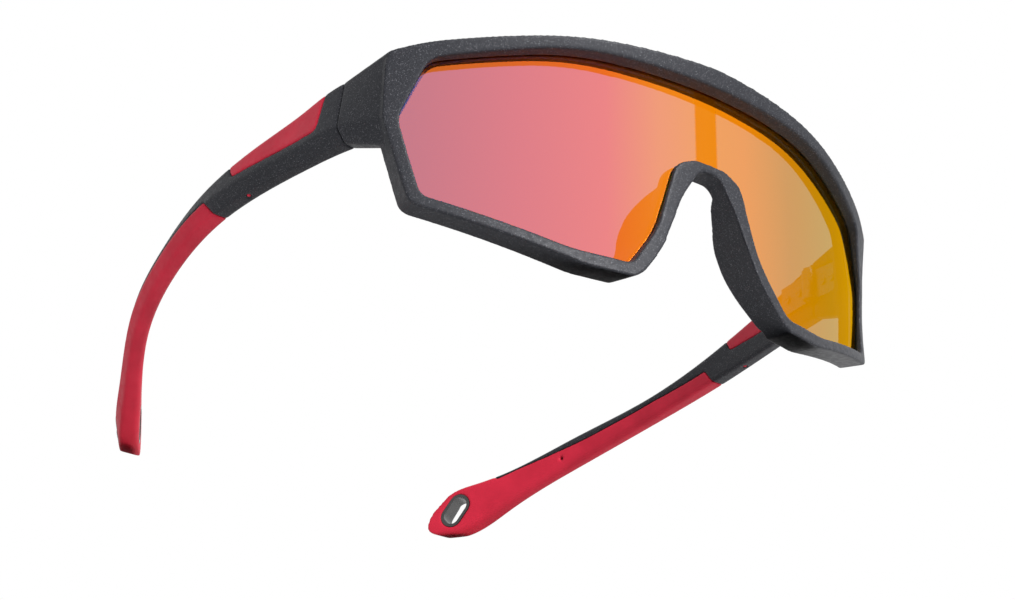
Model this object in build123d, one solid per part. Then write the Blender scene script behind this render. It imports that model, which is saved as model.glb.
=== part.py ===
from build123d import *
import math
import os

# Wraparound sport sunglasses. Millimetres, +Z up, the front faces -Y and the
# temples run towards +Y. The pair stands on its rim and its two temple tips.
# Everything is drawn for the wearer's left side (+X) and mirrored to the right.

# ---- Overall sizes ----
front_width = 136.2         # across the outer ridge of the front
front_height = 52.9         # from the lower rim to the peak of the brow
temple_length = 119.7       # from the seam at the end piece to the temple tip, along Y
wrap_radius = 115.5         # horizontal radius of the front face at bridge height

# ---- Front frame ----
bridge_setback = 4.1        # bridge behind the plane through the origin of the drawing
brow_lean = 3.2             # brow peak ahead of the bridge
sill_lean = 2.2             # lower rim ahead of the bridge
rim_depth = 5.4             # front face to back face at the bridge
convergence = 219.0         # side walls of the rim aim at a point this far behind
brow_width = 5.1            # rim width under the brow peak
shoulder_width = 2.6        # rim width above the middle of each eye
corner_width = 8.8          # rim width at the upper temple corner
side_width = 3.6            # rim width at the outermost point
sill_width = 3.3            # rim width below each eye
nose_width = 2.6            # rim width beside the nose
arch_width = 2.1            # rim width over the nose

# ---- Nose ----
nose_top = 29.3             # height of the nose arch
nose_half_foot = 22.4       # half width of the nose notch at its foot
nose_flare = 0.25           # outward slope of the nose faces, per mm of depth
nose_face_y = 5.2           # depth at which the nose outline is drawn
wing_depth = 12.1           # how far the nose wings reach behind the front face
wing_thickness = 1.9

# ---- Lens ----
lens_recess = 1.1           # lens face behind the front face at the bridge
lens_thickness = 1.8
lens_overlap = 0.7          # how far the lens edge sits in the rim's groove
groove_clearance = 0.05

# ---- End piece and temple ----
seam_y = 39.0               # seam between end piece and temple
seam_gap = 0.15
spine_thickness = 2.2       # hard core inside the soft grip

# ---- Hinge ----
hinge_z = 35.0              # middle of the hinge barrels
hinge_inset = 1.0           # hinge axis inside the temple's inner face
pin_radius = 0.75
pin_clearance = 0.05
barrel_radius = 1.7
barrel_gap = 0.06           # between two barrels
middle_barrel = 2.6         # height of the temple leaf's barrel
end_barrel = 2.2            # height of each of the front leaf's barrels
leaf_thickness = 1.0
leaf_clearance = 0.05
barrel_clearance = 0.25
front_leaf_length = 8.2
temple_leaf_length = 11.5
temple_leaf_angle = 9.7     # the temple leaf lies along the temple's inner face
screw_radius = 0.55
screw_head_radius = 1.0
screw_head_height = 0.4
screw_depth = 1.6           # thread length in the plastic

# ---- Temple tip slot ----
slot_length = 7.6
slot_width = 3.9
slot_ring_wall = 0.75

# ---- Locking peg of the coloured insert ----
peg_radius = 0.55
peg_share = 0.246           # its place along the temple

half_width = front_width / 2
wrap_axis_y = wrap_radius + bridge_setback
mid_height = front_height * 0.51
bridge_height = 27.0
wrap_reach = 50.0           # degrees each way that the front's surfaces are drawn


def face_radius(z, depth=0.0):
    """Radius, from the wrap axis, of the surface this far behind the front face."""
    if z > bridge_height:
        lean = brow_lean * ((z - bridge_height) / (front_height - bridge_height)) ** 2
    else:
        lean = sill_lean * ((bridge_height - z) / bridge_height) ** 2
    return wrap_radius + lean - depth


def face_y(x, z):
    """Y of the front face at this width and height."""
    return wrap_axis_y - math.sqrt(face_radius(z) ** 2 - x ** 2)


def shrink(y):
    """Scale of the front view at this depth, as its walls converge backwards."""
    return 1 - y / convergence


ridge_y = face_y(half_width, mid_height)
half_span = half_width / shrink(ridge_y)      # half width of the drawn front view


def at(across, up):
    """A point of the front view, as shares of its half width and height."""
    return (across * half_span, up * front_height)


# Corners of the outer outline, as (point, rounding), from the brow peak to the foot.
ridge_corners = [
    (at(0.0, 1.0), 14.0),
    (at(0.446, 0.975), 200.0),
    (at(0.882, 0.890), 60.0),
    (at(0.982, 0.853), 2.5),
    (at(1.0, 0.800), 3.0),
    (at(1.0, 0.549), 4.0),
    (at(0.918, 0.138), 4.0),
    (at(0.425, -0.020), 24.0),
]


def inward(corner, across, down):
    """A corner of the lens opening, set in from a corner of the outer outline."""
    (x, z), _ = ridge_corners[corner]
    return (x - across, z - down)


# Corners of the lens opening, from over the bridge, round the eye, to the nose arch.
opening_corners = [
    (inward(1, 0.0, shoulder_width), 110.0),
    (inward(3, corner_width, side_width * 0.5), 5.0),
    (inward(5, side_width, 0.2), 7.0),
    (inward(6, side_width * 0.75, -2.4), 3.0),
    (inward(7, -2.8, -sill_width), 32.0),
    ((nose_half_foot - 0.4, nose_width - 0.5), 3.6),
    ((14.7 - 0.2 * (2.6 - nose_width), 12.3), 26.0),
    ((6.6 + nose_width, nose_top), 5.0),
    ((3.9, nose_top + arch_width), 4.0),
]

# Corners of the notch for the nose, from its foot to the arch.
nose_corners = [
    ((nose_half_foot + 7.0, -2.0), 0.0),
    ((nose_half_foot - 2.0, -0.4), 9.0),
    ((13.6, 8.6), 24.0),
    ((7.3, 22.6), 9.0),
    ((2.8, nose_top), 3.4),
]


def on_front_view(points, radii, y):
    """A closed face in the plane at y, with rounded corners."""
    plane = Plane(origin=(0, y, 0), x_dir=(1, 0, 0), z_dir=(0, -1, 0))
    outline = FilletPolyline(*points, radius=radii, close=True)
    return plane * make_face(outline)


def both_sides(corners):
    """Points and roundings of a closed outline, mirrored about the middle."""
    left_side = list(corners)
    right_side = [((-x, z), radius) for (x, z), radius in reversed(corners) if x > 0]
    loop = left_side + right_side
    return [point for point, _ in loop], [radius for _, radius in loop]


def converging(corners, near, far, grow=0.0):
    """A front-view outline run backwards, its walls aimed at one point behind."""
    points, radii = both_sides(corners)
    sections = []
    for y in (near, far):
        size = shrink(y)
        here = [(x * size, mid_height + (z - mid_height) * size) for x, z in points]
        flat = make_face(FilletPolyline(*here, radius=[r * size for r in radii], close=True))
        if grow:
            flat = offset(flat, grow * size)
        plane = Plane(origin=(0, y, 0), x_dir=(1, 0, 0), z_dir=(0, -1, 0))
        sections.append(plane * flat)
    return loft(sections, ruled=True)


def radial_plane(degrees):
    """The upright plane through the wrap axis, turned this far from straight ahead."""
    angle = math.radians(degrees)
    outward = (math.sin(angle), -math.cos(angle), 0)
    across = (-math.cos(angle), -math.sin(angle), 0)
    return Plane(origin=(0, wrap_axis_y, 0), x_dir=outward, z_dir=across)


def wrapped_band(front, inner_radius):
    """The curved slab between a front profile and a plain cylinder."""
    low = front @ 0
    high = front @ 1
    edges = [
        front,
        Line(high, (inner_radius, high.Y)),
        Line((inner_radius, high.Y), (inner_radius, low.Y)),
        Line((inner_radius, low.Y), low),
    ]
    profile = radial_plane(-wrap_reach) * make_face(edges)
    axis = Axis((0, wrap_axis_y, 0), (0, 0, 1))
    return revolve(profile, axis, 2 * wrap_reach)


def leaning_profile():
    """The front face seen from the side, standing out at brow and sill."""
    levels = (-3.0, bridge_height, front_height + 3.0)
    return ThreePointArc(*[(face_radius(z), z) for z in levels])


def upright_profile(depth):
    """A straight profile this far behind the bridge's front face."""
    radius = wrap_radius - depth
    return Line((radius, -3.0), (radius, front_height + 3.0))


def rounded(corners):
    """A closed flat face from (point, rounding) corners."""
    points = [point for point, _ in corners]
    radii = [radius for _, radius in corners]
    return make_face(FilletPolyline(*points, radius=radii, close=True))


def side_block(corners):
    """A side-view outline of (y, z) corners, run right across the object."""
    reach = 90.0
    plane = Plane(origin=(-reach, 0, 0), x_dir=(0, 1, 0), z_dir=(1, 0, 0))
    return extrude(plane * rounded(corners), 2 * reach)


# ---- Front frame ----

def nose_notch(grow, far):
    """The space for the nose, its faces flaring outwards behind the front."""
    shift = nose_flare * nose_face_y
    points = [(-6.0, nose_top), (-6.0, -12.0), (nose_half_foot + 7.0, -12.0)]
    points += [point for point, _ in nose_corners]
    points = [(x - shift, z) for x, z in points]
    radii = [0.0] * 3 + [radius for _, radius in nose_corners]
    flat = on_front_view(points, radii, 0.0)
    if grow:
        flat = offset(flat, grow)
    half = extrude(flat, far, dir=(nose_flare, 1, 0))
    keep = Pos(100, far / 2, 0) * Box(200, 2 * far, 200)
    return half & keep


def nose_wing():
    """The deep flange beside the nose, one piece with the frame."""
    rear = bridge_setback + wing_depth
    front = bridge_setback + 3.0
    shell = nose_notch(wing_thickness, rear + 6.0) - nose_notch(0.0, rear + 6.0)
    outline = [
        ((front, 28.6), 0.0),
        ((rear - 4.6, 26.3), 6.0),
        ((rear, 20.3), 8.0),
        ((rear, 14.0), 14.0),
        ((rear - 4.2, 1.8), 3.0),
        ((front, 0.2), 0.0),
    ]
    return shell & side_block(outline)


def end_piece():
    """The block behind the outer ridge, which carries the hinge."""
    start_y = 20.0
    seam = temple_corners(stations[0])
    ridge = [
        (half_width - 5.7, 25.0, 22.5),
        (half_width - 2.8, 25.0, 22.5),
        (half_width - 0.5, 26.0, 28.6),
        (half_width, 25.1, 43.0),
        (half_width - 5.7, 25.1, 43.0),
    ]
    start = []
    for (x, y, z), (seam_x, seam_z) in zip(ridge, seam):
        share = (seam_y - start_y) / (seam_y - y)
        start.append((seam_x + (x - seam_x) * share, seam_z + (z - seam_z) * share))
    rounding = [stations[0][-1]] * 5
    faces = [
        on_front_view(start, rounding, start_y),
        on_front_view(seam, rounding, seam_y),
    ]
    return loft(faces, ruled=True)


# ---- Temple ----
# Stations along the temple, from the seam backwards:
# (share of length, inner x, outer x, bottom z, top z, crease share, lean, rounding).
stations = [
    (0.000, 65.2, 70.4, 27.1, 41.6, 0.24, 1.6, 0.7),
    (0.095, 67.1, 71.9, 27.0, 39.0, 0.26, 1.2, 0.7),
    (0.195, 68.8, 73.3, 26.3, 36.6, 0.32, 0.9, 0.8),
    (0.360, 69.9, 74.9, 24.4, 32.0, 0.45, 0.8, 1.0),
    (0.527, 67.8, 72.5, 20.3, 26.9, 0.50, 0.8, 1.3),
    (0.694, 62.2, 67.2, 14.2, 21.9, 0.50, 1.0, 1.5),
    (0.850, 52.4, 58.4, 4.7, 14.6, 0.50, 1.2, 1.6),
    (0.895, 49.2, 55.7, 1.3, 13.2, 0.50, 1.2, 1.6),
    (0.945, 45.4, 52.2, -0.8, 11.8, 0.50, 1.2, 1.6),
    (1.020, 40.0, 46.9, -1.5, 8.9, 0.50, 1.2, 1.6),
]
drawn_half_width = 68.1      # the stations' x belong to a front this wide


def temple_corners(station):
    """Corners of one cross-section, from the inner foot round the outside."""
    _, inner, outer, bottom, top, crease, lean, _ = station
    inner += half_width - drawn_half_width
    outer += half_width - drawn_half_width
    height = top - bottom
    return [
        (inner, bottom),
        (outer - 1.3 * lean, bottom + 0.03 * height),
        (outer, bottom + crease * height),
        (outer - lean, top),
        (inner, top - 0.03 * height),
    ]


def temple_y(share):
    """Y at this share of the temple's length."""
    return seam_y + seam_gap + share * (temple_length - seam_gap)


def temple_blank():
    """The temple's whole envelope, rounded off at its tip."""
    faces = []
    for station in stations:
        corners = temple_corners(station)
        faces.append(on_front_view(corners, [station[-1]] * 5, temple_y(station[0])))
    tip = temple_y(1.0)
    trim = [
        ((seam_y - 10, front_height + 5), 0.0),
        ((tip - 18.4, front_height + 5), 0.0),
        ((tip - 18.4, 15.4), 0.0),
        ((tip - 7.7, 11.4), 10.0),
        ((tip - 2.9, 5.4), 8.0),
        ((tip - 1.4, 0.0), 2.2),
        ((seam_y - 10, 0.0), 0.0),
    ]
    return loft(faces) & side_block(trim)


def temple_region(corners):
    """A region in side view, its corners as (share of length, z, rounding)."""
    return side_block([((temple_y(share), z), radius) for share, z, radius in corners])


def insert_region():
    """The triangular coloured panel behind the seam, with its locking peg."""
    panel = temple_region([
        (0.038, 43.5, 0.0),
        (0.052, 32.2, 1.6),
        (0.275, 31.2, 0.8),
        (0.290, 34.5, 0.0),
        (0.290, 44.0, 0.0),
    ])
    peg = Cylinder(peg_radius, 12.0, align=(Align.CENTER, Align.CENTER, Align.MAX))
    return panel + Pos(temple_middle(peg_share), temple_y(peg_share), 33.0) * peg


def grip_region():
    """The soft grip, below the strip of bare core and round the whole tip."""
    return temple_region([
        (0.293, 19.0, 0.0),
        (0.353, 28.6, 1.0),
        (0.496, 25.7, 40.0),
        (0.613, 22.3, 60.0),
        (0.718, 18.7, 60.0),
        (0.805, 15.4, 40.0),
        (0.857, 12.9, 1.0),
        (0.866, 22.0, 0.0),
        (1.060, 22.0, 0.0),
        (1.060, -6.0, 0.0),
        (0.293, -6.0, 0.0),
    ])


def temple_middle(share):
    """X of the temple's middle at this share of its length."""
    for before, after in zip(stations, stations[1:]):
        if before[0] <= share <= after[0]:
            part_way = (share - before[0]) / (after[0] - before[0])
            first, last = [(station[1] + station[2]) / 2 for station in (before, after)]
            return first + (last - first) * part_way + half_width - drawn_half_width
    raise ValueError("a share from 0 to 1 was expected")


def spine():
    """The flat bar of the hard core that runs on inside the grip."""
    shift = half_width - drawn_half_width
    line = [(72.0, 0.30, 0.0), (72.9, 0.44, 60.0), (66.9, 0.655, 60.0), (54.0, 0.885, 0.0)]
    half = spine_thickness / 2
    outer = [((x + shift + half, temple_y(share)), bend) for x, share, bend in line]
    inner = [((x + shift - half, temple_y(share)), bend) for x, share, bend in reversed(line)]
    bar = extrude(rounded(outer + inner), front_height)
    side = temple_region([
        (0.300, 32.5, 0.0),
        (0.300, 27.4, 0.0),
        (0.527, 22.4, 0.0),
        (0.694, 16.6, 0.0),
        (0.873, 6.6, 0.0),
        (0.873, 11.3, 0.0),
        (0.855, 13.4, 0.0),
        (0.805, 16.0, 0.0),
        (0.718, 19.3, 0.0),
        (0.613, 22.9, 0.0),
        (0.496, 26.3, 0.0),
        (0.390, 29.2, 0.0),
        (0.340, 31.0, 0.0),
    ])
    return bar & side


# ---- Hinge ----
hinge_x = half_width - drawn_half_width + stations[0][1] - hinge_inset
hinge_y = seam_y + seam_gap / 2
stack_half = middle_barrel / 2 + barrel_gap + end_barrel


def upright(radius, low, high):
    """A round bar on the hinge axis between two heights above its middle."""
    bar = Cylinder(radius, high - low, align=(Align.CENTER, Align.CENTER, Align.MIN))
    return Pos(hinge_x, hinge_y, hinge_z + low) * bar


def leaf_frame(direction):
    """Local frame of a leaf: x runs away from the axis, y outwards, z up."""
    if direction > 0:
        angle = math.radians(temple_leaf_angle)
        along = (math.sin(angle), math.cos(angle), 0)
        up = (0, 0, -1)
    else:
        along = (0, -1, 0)
        up = (0, 0, 1)
    return Plane(origin=(hinge_x, hinge_y, hinge_z), x_dir=along, z_dir=up)


def leaf_box(direction, start, end, half_height, grow=0.0, low=None):
    """A flat block of a leaf, between two distances from the hinge axis."""
    bottom = -half_height if low is None else low
    size = (end - start + 2 * grow, leaf_thickness + 2 * grow, half_height - bottom + 2 * grow)
    centre = ((start + end) / 2, leaf_offset + leaf_thickness / 2, (half_height + bottom) / 2)
    return leaf_frame(direction) * Pos(*centre) * Box(*size)


leaf_offset = 0.3            # the leaf stands this far outside the hinge axis
leaf_start = barrel_radius + barrel_clearance + 0.25
screw_places = {-1: (3.9, 6.7), 1: (4.6, 9.2)}


def hinge_leaf(direction):
    """A steel leaf: a flat plate, its necks, and its barrels on the axis."""
    length = temple_leaf_length if direction > 0 else front_leaf_length
    plate = leaf_box(direction, leaf_start - 0.2, length, stack_half)
    if direction > 0:
        levels = [(-middle_barrel / 2, middle_barrel / 2)]
    else:
        inner = middle_barrel / 2 + barrel_gap
        levels = [(-stack_half, -inner), (inner, stack_half)]
    leaf = plate
    for low, high in levels:
        leaf += upright(barrel_radius, low, high)
        leaf += leaf_box(direction, 0.0, leaf_start, high, low=low)
    leaf -= upright(pin_radius + pin_clearance, -stack_half - 1, stack_half + 1)
    for place in screw_places[direction]:
        leaf -= screw_shank(direction, place, 0.05)
    return leaf


def screw_shank(direction, place, grow=0.0):
    frame = leaf_frame(direction)
    length = leaf_thickness + screw_depth
    bar = Cylinder(screw_radius + grow, length + 2 * grow, align=(Align.CENTER, Align.CENTER, Align.MIN))
    return frame * Pos(place, leaf_offset - grow, 0) * Rot(-90, 0, 0) * bar


def leaf_screws(direction):
    """Two small slotted screws that hold a leaf to its plastic."""
    screws = []
    for place in screw_places[direction]:
        top_down = (Align.CENTER, Align.CENTER, Align.MAX)
        head = Cylinder(screw_head_radius, screw_head_height, align=top_down)
        head -= Pos(0, 0, -screw_head_height) * Box(3, 0.3, 0.36)
        head = leaf_frame(direction) * Pos(place, leaf_offset, 0) * Rot(-90, 0, 0) * head
        screws.append(head + screw_shank(direction, place))
    return screws


def hinge_screw():
    """The slotted screw that the temple swings on."""
    head_radius = 1.25
    head_height = 0.7
    bar = upright(pin_radius, -stack_half - 0.5, stack_half + 0.3)
    head = upright(head_radius, stack_half + 0.02, stack_half + head_height)
    slot = Pos(hinge_x, hinge_y, hinge_z + stack_half + head_height) * Box(0.35, 4, 0.6)
    return bar + head - slot


def hinge_relief():
    """Room for the barrels and the screw head in the plastic round them."""
    return upright(barrel_radius + barrel_clearance, -stack_half - 0.8, stack_half + 1.1)


def leaf_pocket(direction):
    """The recess in the plastic that a leaf lies in, open on the inner side."""
    length = temple_leaf_length if direction > 0 else front_leaf_length
    grow = leaf_clearance
    size = (length - 1.0 + grow, 4.0, 2 * stack_half + 2 * grow)
    centre = ((length + 1.0 + grow) / 2, leaf_offset + leaf_thickness + grow - 2.0, 0)
    pocket = leaf_frame(direction) * Pos(*centre) * Box(*size)
    for place in screw_places[direction]:
        pocket += screw_shank(direction, place, 0.02)
    return pocket


# ---- Tip slot ----
slot_y = seam_y + temple_length - 7.0
slot_z = 5.9
slot_rise = 55.0             # slope of the slot in side view, degrees


def slot_frame():
    """Centred in the temple's tip, x along the slot, z through the tip."""
    share = (slot_y - temple_y(0)) / (temple_y(1) - temple_y(0))
    reach = 0.03
    x = temple_middle(share)
    sweep = temple_middle(share - reach) - temple_middle(share + reach)
    along = Vector(sweep, temple_y(-reach) - temple_y(reach), 0).normalized()
    rise = math.radians(slot_rise)
    slant = along * math.cos(rise) + Vector(0, 0, 1) * math.sin(rise)
    through = along.cross(Vector(0, 0, 1))
    return Plane(origin=(x, slot_y, slot_z), x_dir=slant, z_dir=through)


def slot_bar(grow, reach):
    outline = SlotOverall(slot_length + 2 * grow, slot_width + 2 * grow)
    return slot_frame() * extrude(outline, reach, both=True)


# ---- Assembly ----
def build_temple():
    """The pieces of the wearer's left temple."""
    blank = temple_blank()
    panel = insert_region()
    grip_space = grip_region()
    bar = spine()
    ring_space = slot_bar(slot_ring_wall, 12.0)
    hinge_space = hinge_relief() + leaf_pocket(1)
    drill = Cylinder(0.5, 20.0, align=(Align.CENTER, Align.CENTER, Align.MIN))
    pin_hole = Pos(temple_middle(0.72), temple_y(0.72), 16.4) * Rot(0, -90, 0) * drill
    insert = (blank & panel) - hinge_space
    core = blank - panel - grip_space
    core = core + bar - hinge_space
    grip = (blank & grip_space) - bar - ring_space - pin_hole
    ring = (blank & ring_space) - slot_bar(0.0, 12.0)
    return {
        "temple_core": core,
        "temple_insert": insert,
        "temple_grip": grip,
        "slot_ring": ring,
        "temple_leaf": hinge_leaf(1),
        "temple_leaf_screws": leaf_screws(1),
    }


def build_hinge():
    """The pieces of the left hinge that stay with the front."""
    return {
        "front_leaf": hinge_leaf(-1),
        "front_leaf_screws": leaf_screws(-1),
        "hinge_screw": hinge_screw(),
    }


def build_lens(grow=0.0):
    """The one-piece lens, or with a clearance added, the groove it sits in."""
    front = upright_profile(lens_recess - grow)
    band = wrapped_band(front, wrap_radius - lens_recess - lens_thickness - grow)
    return band & converging(opening_corners, -6.0, 46.0, lens_overlap + grow)


def on_both_sides(shape):
    """A shape with its mirror image."""
    return [shape, mirror(shape, about=Plane.YZ)]


def build_front():
    """The full-rim front, with its end pieces, nose wings and lens groove."""
    profile = leaning_profile()
    solid = wrapped_band(profile, wrap_radius - rim_depth)
    solid &= converging(ridge_corners, -6.0, 46.0)
    solid += on_both_sides(end_piece() & wrapped_band(profile, wrap_radius - 60.0))
    solid -= converging(opening_corners, -6.0, 46.0)
    solid += on_both_sides(nose_wing())
    solid -= on_both_sides(nose_notch(0.0, bridge_setback + wing_depth + 6.0))
    solid -= build_lens(groove_clearance)
    solid -= on_both_sides(hinge_relief())
    solid -= on_both_sides(leaf_pocket(-1))
    return solid


def main():
    pieces = {"front_frame": build_front(), "shield_lens": build_lens()}
    for name, piece in {**build_temple(), **build_hinge()}.items():
        solids = Compound(piece).solids() if isinstance(piece, list) else piece.solids()
        pieces["left_" + name] = Compound(solids)
        pieces["right_" + name] = Compound([solid.mirror(Plane.YZ) for solid in solids])
    whole = Compound([solid for piece in pieces.values() for solid in piece.solids()])
    box = whole.bounding_box(optimal=True)
    drop = Pos(0, -(box.min.Y + box.max.Y) / 2, -box.min.Z)
    os.makedirs("parts", exist_ok=True)
    for name, piece in pieces.items():
        export_step(drop * piece, "parts/" + name + ".step")
        print(name, round(piece.volume), piece.is_valid, len(piece.solids()))
    axis = drop * Pos(hinge_x, hinge_y, hinge_z)
    print("left hinge axis at", axis.position, "whole box", box.min, box.max)


main()
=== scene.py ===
import math

import bpy
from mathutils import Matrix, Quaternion, Vector


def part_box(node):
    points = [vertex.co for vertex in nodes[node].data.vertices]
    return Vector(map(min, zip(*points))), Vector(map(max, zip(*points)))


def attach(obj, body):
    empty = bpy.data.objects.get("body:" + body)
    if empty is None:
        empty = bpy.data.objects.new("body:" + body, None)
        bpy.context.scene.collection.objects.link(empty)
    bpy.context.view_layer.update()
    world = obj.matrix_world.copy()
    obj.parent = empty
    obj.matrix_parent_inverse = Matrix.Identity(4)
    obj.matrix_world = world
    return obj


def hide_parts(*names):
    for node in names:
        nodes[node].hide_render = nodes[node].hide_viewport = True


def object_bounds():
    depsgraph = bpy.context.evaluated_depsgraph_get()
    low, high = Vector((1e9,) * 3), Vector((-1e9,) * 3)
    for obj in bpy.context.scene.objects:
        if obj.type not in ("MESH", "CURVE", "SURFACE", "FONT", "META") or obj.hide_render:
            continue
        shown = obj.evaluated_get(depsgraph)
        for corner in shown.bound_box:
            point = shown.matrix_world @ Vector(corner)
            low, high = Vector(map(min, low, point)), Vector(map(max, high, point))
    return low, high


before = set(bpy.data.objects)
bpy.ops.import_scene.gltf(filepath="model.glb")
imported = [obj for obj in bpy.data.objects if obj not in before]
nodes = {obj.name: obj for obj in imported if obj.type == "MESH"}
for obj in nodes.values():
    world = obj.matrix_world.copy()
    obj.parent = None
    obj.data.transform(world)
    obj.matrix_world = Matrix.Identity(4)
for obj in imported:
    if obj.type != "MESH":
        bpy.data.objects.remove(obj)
cad_low, cad_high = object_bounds()

scene = bpy.context.scene
centre = (cad_low + cad_high) / 2
half_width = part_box("front_frame")[1][0]
MM = 0.001

# ---- Camera ----
CAMERA_AZIMUTH = 38.642          # degrees from straight ahead, towards the wearer's right
CAMERA_ELEVATION = -24.353       # degrees, looking up from below the front
CAMERA_ROLL = 0.487              # degrees
CAMERA_DISTANCE = 0.5701         # metres from the aim
CAMERA_AIM = 0.0047              # the aim is this far to the right of the middle, in metres
CAMERA_RISE = 0.0005             # and this far above it
CAMERA_LENS = 88.67              # focal length, in millimetres on a 36 mm wide sensor

# ---- Studio ----
WHITE = 1.0                      # strength of the white surround
FILL = 0.55                      # its strength as diffuse fill
FLOOR_SIZE = 6.0
KEY_AZIMUTH = 5.0
KEY_ELEVATION = 30.0
KEY_DISTANCE = 0.9
KEY_SIZE = 0.5
KEY_POWER = 14.0

# ---- Rounding of the moulded parts ----
VOXEL = 0.22 * MM                # grid on which their surfaces are rebuilt
SMOOTHING = 22                   # passes that round their edges over
WELD = 0.001 * MM                # closes the seams between a CAD node's faces

# ---- Lens ----
PAINTED_STRIP_EDGE = 0.021               # half width of the closed strip, where the painted softbox reflection is left out to paint the reflection of a dark gap, as a share of the front's width
PAINTED_STRIP_BLUR = 0.0025              # width of its soft edge, as the same share
SMOKE = (0.25, 0.25, 0.25, 1.0)              # tint of the sheet
FROM_BEHIND = (0.42, 0.40, 0.39, 1.0)        # what the coating passes towards the wearer
EDGE_TINT = (0.90, 0.60, 0.15, 1.0)          # coating at grazing angles


def direction(azimuth, elevation):
    """Unit vector from the object towards this azimuth and elevation, front at 0."""
    a, e = math.radians(azimuth), math.radians(elevation)
    return Vector((math.sin(a) * math.cos(e), -math.cos(a) * math.cos(e), math.sin(e)))


# ---------------------------------------------------------------- node helpers
class Shader:
    """A node material that is built up in short calls."""

    def __init__(self, name):
        self.material = bpy.data.materials.new(name)
        self.material.use_nodes = True
        self.tree = self.material.node_tree
        self.principled = self.tree.nodes["Principled BSDF"]
        self.output = self.tree.nodes["Material Output"]
        coordinates = self.add("ShaderNodeTexCoord")
        self.position = coordinates.outputs["Object"]
        self.normal = coordinates.outputs["Normal"]

    def add(self, kind, **values):
        node = self.tree.nodes.new(kind)
        for key, value in values.items():
            setattr(node, key, value)
        return node

    def link(self, source, target):
        self.tree.links.new(source, target)

    def set(self, **values):
        for key, value in values.items():
            self.principled.inputs[key.replace("_", " ")].default_value = value

    def noise(self, scale, detail=2.0, roughness=0.5):
        node = self.add("ShaderNodeTexNoise")
        node.inputs["Scale"].default_value = scale
        node.inputs["Detail"].default_value = detail
        node.inputs["Roughness"].default_value = roughness
        self.link(self.position, node.inputs["Vector"])
        return node.outputs["Fac"]

    def flakes(self, scale):
        node = self.add("ShaderNodeTexVoronoi")
        node.inputs["Scale"].default_value = scale
        self.link(self.position, node.inputs["Vector"])
        return node.outputs["Color"]

    def ramp(self, factor, stops):
        node = self.add("ShaderNodeValToRGB")
        elements = node.color_ramp.elements
        while len(elements) < len(stops):
            elements.new(0.5)
        for element, (place, colour) in zip(elements, stops):
            element.position = place
            element.color = (*colour, 1.0)
        self.link(factor, node.inputs["Fac"])
        return node.outputs["Color"]

    def span(self, factor, low, high, to_low=0.0, to_high=1.0):
        node = self.add("ShaderNodeMapRange")
        node.inputs["From Min"].default_value = low
        node.inputs["From Max"].default_value = high
        node.inputs["To Min"].default_value = to_low
        node.inputs["To Max"].default_value = to_high
        self.link(factor, node.inputs["Value"])
        return node.outputs["Result"]

    def mix(self, factor, first, second):
        node = self.add("ShaderNodeMix", data_type="RGBA")
        for name, value in (("Factor", factor), ("A", first), ("B", second)):
            socket = [s for s in node.inputs if s.name == name and s.enabled][0]
            if hasattr(value, "links"):
                self.link(value, socket)
            else:
                socket.default_value = value
        return [s for s in node.outputs if s.enabled][0]

    def bump(self, height, strength, distance):
        node = self.add("ShaderNodeBump")
        node.inputs["Strength"].default_value = strength
        node.inputs["Distance"].default_value = distance
        self.link(height, node.inputs["Height"])
        self.link(node.outputs["Normal"], self.principled.inputs["Normal"])

    def axis(self, vector, index):
        node = self.add("ShaderNodeSeparateXYZ")
        self.link(vector, node.inputs["Vector"])
        return node.outputs[index]

    def choose(self, factor, first, second):
        """One shader where the factor is 0 and the other where it is 1."""
        node = self.add("ShaderNodeMixShader")
        for socket, source in zip(node.inputs, (factor, first, second)):
            self.link(source, socket)
        return node.outputs["Shader"]


def grey(value):
    return (value, value, value)


# ---------------------------------------------------------------- materials
def frame_plastic():
    """Charcoal moulded nylon with a fine metallic sparkle."""
    shader = Shader("frame_plastic")
    grain = shader.noise(5200.0, 3.0, 0.7)
    tone = shader.ramp(grain, [(0.30, (0.009, 0.0095, 0.012)), (0.72, (0.029, 0.030, 0.036))])
    flake = shader.ramp(shader.flakes(7500.0), [(0.78, grey(0.0)), (0.98, grey(1.0))])
    colour = shader.mix(flake, tone, (0.130, 0.132, 0.146, 1.0))
    shader.link(colour, shader.principled.inputs["Base Color"])
    shader.set(Metallic=0.1, Specular_IOR_Level=0.14)
    rough = shader.span(shader.noise(900.0), 0.3, 0.7, 0.40, 0.54)
    shader.link(rough, shader.principled.inputs["Roughness"])
    shader.bump(grain, 0.16, 0.00006)
    return shader.material


def red_plastic(name, roughness, grain_size, height):
    """The red of the temples: moulded panel or soft-touch rubber."""
    shader = Shader(name)
    cloud = shader.noise(140.0, 3.0)
    colour = shader.ramp(cloud, [(0.30, (0.410, 0.0110, 0.031)), (0.70, (0.490, 0.0145, 0.039))])
    shader.link(colour, shader.principled.inputs["Base Color"])
    shader.set(Roughness=roughness, Specular_IOR_Level=0.18)
    rough = shader.span(shader.noise(600.0), 0.3, 0.7, roughness - 0.05, roughness + 0.06)
    shader.link(rough, shader.principled.inputs["Roughness"])
    shader.bump(shader.noise(grain_size, 2.0, 0.6), 0.22, height)
    return shader.material


def ring_plastic():
    """Dark, smooth lining of the strap slot."""
    shader = Shader("ring_plastic")
    colour = shader.ramp(shader.noise(900.0), [(0.35, grey(0.012)), (0.7, grey(0.024))])
    shader.link(colour, shader.principled.inputs["Base Color"])
    shader.set(Roughness=0.3, Coat_Weight=0.3, Coat_Roughness=0.15)
    shader.bump(shader.noise(2500.0), 0.08, 0.00004)
    return shader.material


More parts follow.
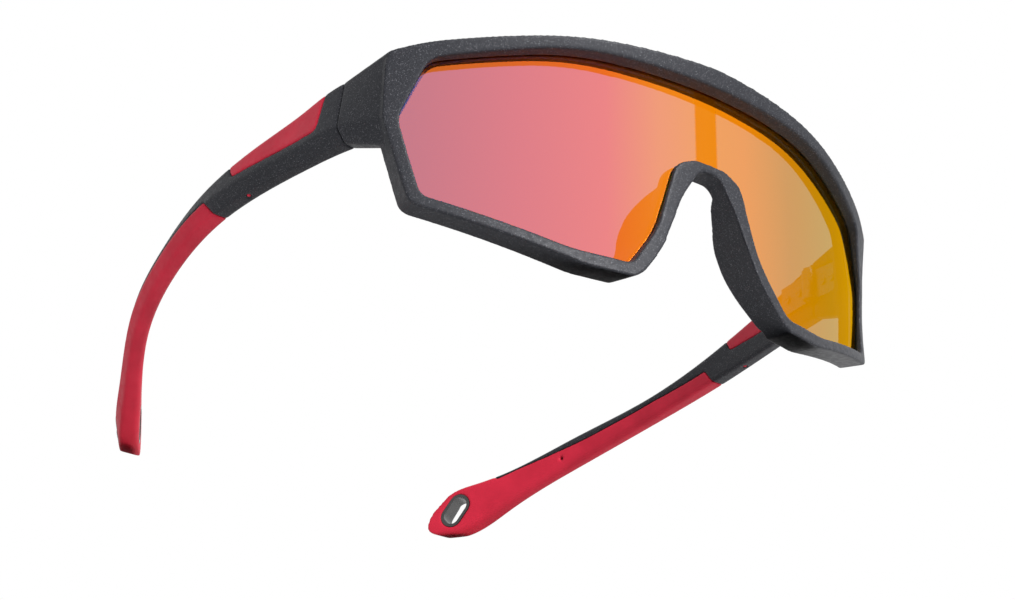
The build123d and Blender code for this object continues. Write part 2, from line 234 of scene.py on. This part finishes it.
def hinge_steel():
    """Stamped and tumbled spring steel with a dark finish."""
    shader = Shader("hinge_steel")
    colour = shader.ramp(shader.noise(1500.0, 3.0), [(0.3, grey(0.10)), (0.7, grey(0.17))])
    shader.link(colour, shader.principled.inputs["Base Color"])
    shader.set(Metallic=1.0)
    rough = shader.span(shader.noise(700.0), 0.3, 0.7, 0.22, 0.4)
    shader.link(rough, shader.principled.inputs["Roughness"])
    shader.bump(shader.noise(6000.0), 0.1, 0.00003)
    return shader.material


def mirror_lens():
    """Tinted shield: a fire mirror that shifts in hue on the front, with that shift and its pale
    and saturated zones painted reflection, smoke on the back.
    """
    shader = Shader("mirror_lens")
    backfacing = shader.add("ShaderNodeNewGeometry").outputs["Backfacing"]
    split = shader.add("ShaderNodeMath", operation="GREATER_THAN")
    shader.link(outward(shader, backfacing), split.inputs[0])
    split.inputs[1].default_value = 0.0
    inner = inner_face(shader, backfacing)
    outer = coated_face_with_painted_reflection(shader, backfacing)
    shader.link(shader.choose(split.outputs[0], inner, outer), shader.output.inputs["Surface"])
    return shader.material


def coated_face_with_painted_reflection(shader, backfacing):
    """The mirror layer, and the light that it lets through, from the right side to the left: the
    hue shift across the front is painted in place of its change with viewing angle, and the pale
    bluish light let through is a painted softbox reflection, left out in a middle strip.
    """
    place = shader.span(shader.axis(shader.position, 0), -half_width, half_width)
    # painted reflection tint: the fire mirror's own colour, with its hue shift across the front
    # painted by position where it really comes with the viewing angle
    coating_and_painted_angle_hue = shader.ramp(place, [
        (0.05, (0.580, 0.130, 0.0125)),
        (0.19, (0.730, 0.136, 0.0150)),
        (0.32, (0.840, 0.152, 0.0120)),
        (0.41, (0.870, 0.230, 0.0090)),
        (0.50, (0.870, 0.245, 0.0070)),
        (0.58, (0.840, 0.240, 0.0060)),
        (0.69, (0.620, 0.235, 0.0120)),
        (0.82, (0.510, 0.285, 0.0220)),
        (0.92, (0.560, 0.330, 0.0350)),
    ])
    shader.link(coating_and_painted_angle_hue, shader.principled.inputs["Base Color"])
    shader.set(Metallic=1.0, Roughness=0.03, Specular_Tint=EDGE_TINT)
    # painted reflection of a dark gap between softboxes: almost no light let through in the
    # middle strip, so the saturated colour shows
    painted_dark_gap = (0.004, 0.07, 0.03)
    # painted reflection: pale bluish softbox reflections painted into the light let through,
    # stronger or bluer across the lens; the lens also really passes some light
    passed_and_painted_reflection = shader.ramp(place, [
        (0.05, (0.000, 0.28, 0.96)),
        (0.32, (0.010, 0.34, 0.92)),
        (0.5 - PAINTED_STRIP_EDGE - PAINTED_STRIP_BLUR, (0.040, 0.48, 0.62)),
        (0.5 - PAINTED_STRIP_EDGE, painted_dark_gap),
        (0.5 + PAINTED_STRIP_EDGE, painted_dark_gap),
        (0.5 + PAINTED_STRIP_EDGE + PAINTED_STRIP_BLUR, (0.045, 0.47, 0.50)),
        (0.72, (0.120, 0.46, 0.50)),
        (0.95, (0.250, 0.58, 0.62)),
    ])
    # A view from behind the lens meets this face from inside, and gets the real pass-through
    # colour instead of the painted reflection.
    passed_and_painted_reflection = shader.mix(backfacing, passed_and_painted_reflection, FROM_BEHIND)
    # this layer lets light through and carries the painted softbox reflection
    through = shader.add("ShaderNodeBsdfTransparent")
    shader.link(passed_and_painted_reflection, through.inputs["Color"])
    both = shader.add("ShaderNodeAddShader")
    shader.link(shader.principled.outputs["BSDF"], both.inputs[0])
    shader.link(through.outputs["BSDF"], both.inputs[1])
    return both.outputs["Shader"]


def inner_face(shader, backfacing):
    """Smoke tint with a slight shine, which is seen from the wearer's side only."""
    smoke = shader.add("ShaderNodeBsdfTransparent")
    smoke.inputs["Color"].default_value = SMOKE
    shine = shader.add("ShaderNodeBsdfGlossy")
    shine.inputs["Roughness"].default_value = 0.05
    amount = shader.span(backfacing, 0.0, 1.0, 0.05, 0.0)
    return shader.choose(amount, smoke.outputs["BSDF"], shine.outputs["BSDF"])


def outward(shader, backfacing):
    """Above zero on the lens's outer face, which faces -Y, and below zero on its inner one."""
    turn = shader.span(backfacing, 0.0, 1.0, -1.0, 1.0)
    product = shader.add("ShaderNodeMath", operation="MULTIPLY")
    shader.link(shader.axis(shader.normal, 1), product.inputs[0])
    shader.link(turn, product.inputs[1])
    return product.outputs[0]


def assign(material, *names):
    for name in names:
        mesh = nodes[name].data
        mesh.materials.clear()
        mesh.materials.append(material)


def both_sides(*names):
    return [side + "_" + name for side in ("left", "right") for name in names]


def softened(name, body, material):
    """Stand a moulded copy, with its edges rounded over, in for a CAD node."""
    piece = bpy.data.objects.new(name + "_moulded", nodes[name].data.copy())
    scene.collection.objects.link(piece)
    weld = piece.modifiers.new("weld", "WELD")
    weld.merge_threshold = WELD
    remesh = piece.modifiers.new("remesh", "REMESH")
    remesh.mode = "VOXEL"
    remesh.voxel_size = VOXEL
    remesh.use_smooth_shade = True
    smooth = piece.modifiers.new("smooth", "SMOOTH")
    smooth.factor = 0.5
    smooth.iterations = SMOOTHING
    rounded = piece.evaluated_get(bpy.context.evaluated_depsgraph_get())
    final = bpy.data.meshes.new_from_object(rounded)
    piece.modifiers.clear()
    piece.data = final
    final.materials.clear()
    final.materials.append(material)
    for face in final.polygons:
        face.use_smooth = True
    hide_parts(name)
    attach(piece, body)


# ---------------------------------------------------------------- pieces
plastic = frame_plastic()
red_panel = red_plastic("red_plastic", 0.42, 3000.0, 0.00004)
red_rubber = red_plastic("red_rubber", 0.55, 2200.0, 0.00006)
softened("front_frame", "front", plastic)
for side in ("left", "right"):
    temple = side + "_temple"
    softened(temple + "_core", temple, plastic)
    softened(temple + "_insert", temple, red_panel)
    softened(temple + "_grip", temple, red_rubber)
assign(plastic, "front_frame", *both_sides("temple_core"))
assign(red_panel, *both_sides("temple_insert"))
assign(red_rubber, *both_sides("temple_grip"))
assign(ring_plastic(), *both_sides("slot_ring"))
assign(hinge_steel(), *both_sides("front_leaf", "front_leaf_screws", "hinge_screw",
                                  "temple_leaf", "temple_leaf_screws"))
assign(mirror_lens(), "shield_lens")


# ---------------------------------------------------------------- studio
def aim(thing, place, target):
    thing.location = place
    thing.rotation_mode = "QUATERNION"
    thing.rotation_quaternion = (target - place).to_track_quat("-Z", "Y")


def make_camera():
    camera = bpy.data.objects.new("camera", bpy.data.cameras.new("camera"))
    scene.collection.objects.link(camera)
    camera.data.lens = CAMERA_LENS
    camera.data.clip_start = 0.01
    camera.data.clip_end = 50.0
    toward = direction(-CAMERA_AZIMUTH, CAMERA_ELEVATION)
    right = Vector((0, 0, 1)).cross(toward).normalized()
    target = centre + right * CAMERA_AIM + Vector((0, 0, CAMERA_RISE))
    aim(camera, target + toward * CAMERA_DISTANCE, target)
    roll = Quaternion((0, 0, 1), math.radians(CAMERA_ROLL))
    camera.rotation_quaternion = camera.rotation_quaternion @ roll
    scene.camera = camera


def all_but_lens():
    """What the key light reaches: everything except the lens."""
    group = bpy.data.collections.new("all_but_lens")
    group.objects.link(nodes["shield_lens"])
    group.collection_objects[0].light_linking.link_state = "EXCLUDE"
    return group


def make_key_light():
    """A round softbox above the front, aimed at the object."""
    data = bpy.data.lights.new("key", "AREA")
    data.shape = "DISK"
    data.size = KEY_SIZE
    data.energy = KEY_POWER
    light = bpy.data.objects.new("key", data)
    scene.collection.objects.link(light)
    aim(light, centre + direction(KEY_AZIMUTH, KEY_ELEVATION) * KEY_DISTANCE, centre)
    light.light_linking.receiver_collection = all_but_lens()


def make_floor():
    """A plain pale floor, solid from above and clear from below."""
    half = FLOOR_SIZE / 2
    mesh = bpy.data.meshes.new("floor")
    z = cad_low.z
    corners = [(-half, -half, z), (half, -half, z), (half, half, z), (-half, half, z)]
    mesh.from_pydata(corners, [], [(0, 1, 2, 3)])
    floor = bpy.data.objects.new("floor", mesh)
    scene.collection.objects.link(floor)
    shader = Shader("floor")
    tone = shader.ramp(shader.noise(3.0), [(0.3, grey(0.86)), (0.7, grey(0.88))])
    shader.link(tone, shader.principled.inputs["Base Color"])
    shader.set(Roughness=0.8)
    clear = shader.add("ShaderNodeBsdfTransparent")
    side = shader.add("ShaderNodeNewGeometry").outputs["Backfacing"]
    either = shader.choose(side, shader.principled.outputs["BSDF"], clear.outputs["BSDF"])
    shader.link(either, shader.output.inputs["Surface"])
    mesh.materials.append(shader.material)


def make_world():
    """White all round, but dimmer as fill, so that the key light models the form."""
    world = bpy.data.worlds.new("studio")
    world.use_nodes = True
    tree = world.node_tree
    background = tree.nodes["Background"]
    background.inputs["Color"].default_value = (1.0, 1.0, 1.0, 1.0)
    path = tree.nodes.new("ShaderNodeLightPath")
    level = tree.nodes.new("ShaderNodeMapRange")
    level.inputs["To Min"].default_value = WHITE
    level.inputs["To Max"].default_value = FILL
    tree.links.new(path.outputs["Is Diffuse Ray"], level.inputs["Value"])
    tree.links.new(level.outputs["Result"], background.inputs["Strength"])
    scene.world = world


make_camera()
make_world()
make_floor()
make_key_light()
scene.view_settings.view_transform = "Standard"
